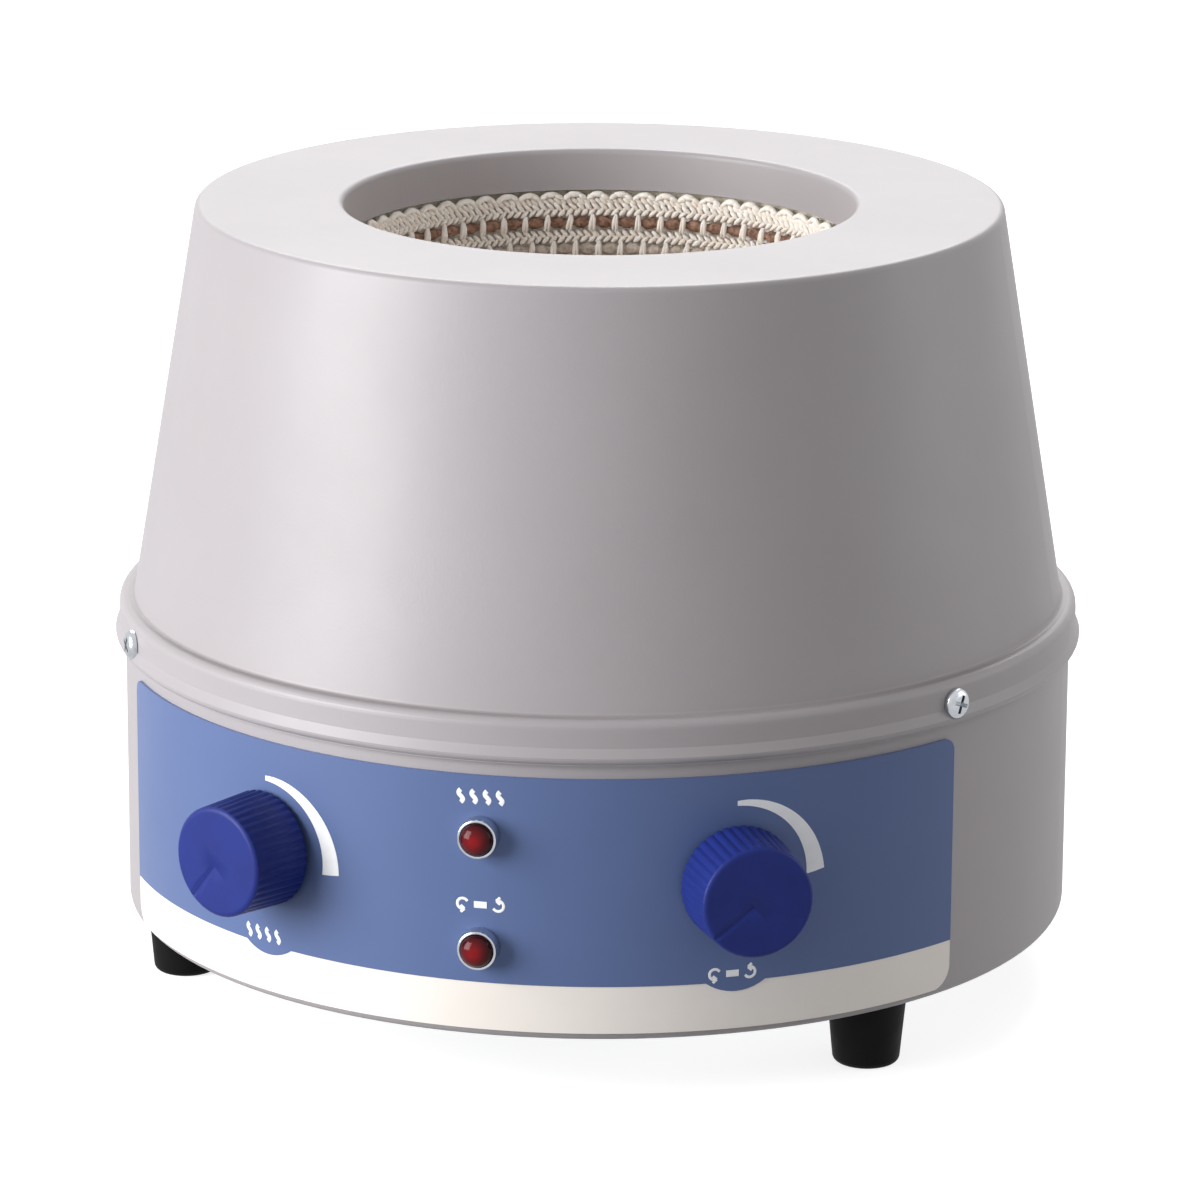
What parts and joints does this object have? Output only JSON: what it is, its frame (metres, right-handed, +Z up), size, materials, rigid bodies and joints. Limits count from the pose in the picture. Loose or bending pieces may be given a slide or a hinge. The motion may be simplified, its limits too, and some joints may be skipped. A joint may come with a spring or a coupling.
{
  "type": "stirring heating mantle",
  "caption": "Round bench-top heating mantle with a knitted heating bowl for a round-bottom flask, front control panel with two knobs and lamps, and rubber feet.",
  "frame": {"origin": "on the bench top, under the middle of the flask mouth", "axes": "+Z up through the flask mouth, -Y towards the middle of the control panel, +X to the right as the panel is faced"},
  "size_m": [0.2646, 0.2722, 0.2137],
  "materials": {
    "shell_paint": "satin baked paint, warm light grey",
    "plate_steel": "zinc-plated steel sheet",
    "foot_rubber": "moulded black rubber",
    "zinc_fastener": "bright zinc-plated steel",
    "film_cream": "printed polyester film, cream",
    "print_blue": "screen print, mid blue",
    "print_white": "screen print, white",
    "knob_blue": "moulded ABS, royal blue",
    "shaft_steel": "turned steel",
    "control_case": "pressed steel case",
    "lens_red": "moulded red acrylic",
    "black_plastic": "moulded black nylon",
    "glass_yarn": "knitted glass yarn, off-white",
    "element_yarn": "glass-covered resistance wire, brown",
    "glass_wool": "pressed glass wool",
    "can_aluminium": "spun aluminium",
    "motor_paint": "black painted steel",
    "magnet_ferrite": "ground ferrite",
    "carrier_nylon": "machined nylon",
    "board_laminate": "green glass-epoxy laminate",
    "brass": "turned brass",
    "transformer_iron": "varnished iron laminations",
    "capacitor_sleeve": "shrunk blue sleeve",
    "ceramic": "glazed steatite"
  },
  "bodies": {
    "housing": {"upper_shell": "shell_paint", "base_shell": "shell_paint", "bottom_plate": "plate_steel", "rubber_feet": "foot_rubber", "foot_screws": "zinc_fastener", "foot_nuts": "zinc_fastener", "shell_screws": "zinc_fastener", "panel_film": "film_cream", "panel_print": "print_blue", "panel_marks": "print_white", "heat_control": "control_case", "stir_control": "control_case", "control_nuts": "zinc_fastener", "heat_lamp": "lens_red", "stir_lamp": "lens_red", "lamp_bodies": "black_plastic", "knit_lining": "glass_yarn", "heater_element": "element_yarn", "insulation_bowl": "glass_wool", "heater_can": "can_aluminium", "can_nuts": "zinc_fastener", "heat_shield": "can_aluminium", "motor_bracket": "plate_steel", "bracket_screws": "zinc_fastener", "stirrer_motor": "motor_paint", "motor_screws": "zinc_fastener", "control_board": "board_laminate", "board_standoffs": "brass", "heatsink": "can_aluminium", "transformer": "transformer_iron", "capacitors": "capacitor_sleeve", "terminal_block": "ceramic", "mains_inlet": "black_plastic", "inlet_pins": "zinc_fastener", "inlet_screws": "zinc_fastener", "fuse_holder": "black_plastic", "fuse_cap": "black_plastic"},
    "heat_dial": {"heat_knob": "knob_blue", "heat_shaft": "shaft_steel"},
    "stir_dial": {"stir_knob": "knob_blue", "stir_shaft": "shaft_steel"},
    "stirrer": {"motor_shaft": "shaft_steel", "magnet_carrier": "carrier_nylon", "rotor_magnets": "magnet_ferrite"}
  },
  "joints": [
    {"name": "heat_knob_turn", "type": "hinge", "parent": "housing", "child": "heat_dial", "pos_m": [-0.06123, -0.11468, 0.0614], "axis": [0.471, 0.8821, 0], "range_deg": [0, 280]},
    {"name": "stir_knob_turn", "type": "hinge", "parent": "housing", "child": "stir_dial", "pos_m": [0.06362, -0.11337, 0.0614], "axis": [-0.4894, 0.8721, 0], "range_deg": [0, 280]},
    {"name": "stirrer_spin", "type": "hinge", "parent": "housing", "child": "stirrer", "pos_m": [0, 0, 0.1], "axis": [0, 0, 1], "continuous": true}
  ]
}
